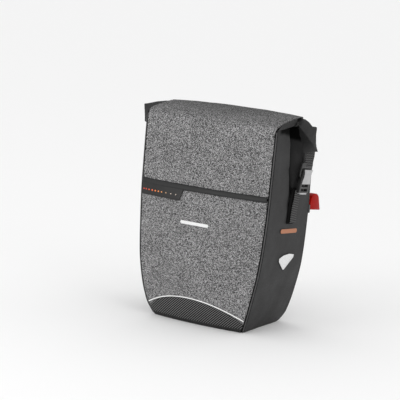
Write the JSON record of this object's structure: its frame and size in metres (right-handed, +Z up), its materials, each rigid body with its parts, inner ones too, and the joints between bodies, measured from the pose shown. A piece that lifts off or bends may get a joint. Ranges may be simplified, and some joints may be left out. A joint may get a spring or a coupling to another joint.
{
  "type": "bicycle pannier",
  "caption": "Upright roll-top bicycle pannier in grey melange and black cloth, with side straps and buckles, a ribbed toe and hooks on the back.",
  "frame": {"origin": "middle of the base panel, on the plane it stands on", "axes": "+Z up through the bag, -Y out of the melange front, +X to the side with the red hook"},
  "size_m": [0.3765, 0.2237, 0.4185],
  "materials": {
    "melange": "matte",
    "coated_cloth": "satin",
    "dark_trim": "satin",
    "ribbed_cloth": "satin",
    "webbing": "matte",
    "black_plastic": "satin",
    "grey_plastic": "satin",
    "reflective_white": "satin",
    "reflective_patch": "satin",
    "red_plastic": "glossy"
  },
  "bodies": {
    "root": {"front_upper_panel": "melange", "front_lower_panel": "melange", "zip_band": "dark_trim", "cover_patch": "dark_trim", "toe_panel": "ribbed_cloth", "reflective_piping": "reflective_white", "bottom_hem": "dark_trim", "base_panel": "coated_cloth", "gusset_R": "coated_cloth", "gusset_L": "coated_cloth", "edge_piping_R": "dark_trim", "edge_piping_L": "dark_trim", "roof_binding_R": "coated_cloth", "roof_binding_L": "coated_cloth", "rolled_closure": "coated_cloth", "back_panel": "coated_cloth", "back_yoke": "coated_cloth", "upper_webbing_R": "webbing", "upper_webbing_L": "webbing", "strap_tape_R": "webbing", "strap_tape_L": "webbing", "lower_strap_R": "webbing", "lower_strap_L": "webbing", "buckle_plug_R": "black_plastic", "buckle_plug_L": "black_plastic", "buckle_socket_R": "black_plastic", "buckle_socket_L": "black_plastic", "buckle_plate_R": "grey_plastic", "buckle_plate_L": "grey_plastic", "buckle_bar_R": "grey_plastic", "buckle_bar_L": "grey_plastic", "side_reflector_R": "reflective_patch", "side_reflector_L": "reflective_patch", "mount_rail": "black_plastic", "top_hook_R": "black_plastic", "top_hook_L": "black_plastic", "hook_base": "black_plastic", "stabiliser_hook": "red_plastic"}
  },
  "joints": []
}
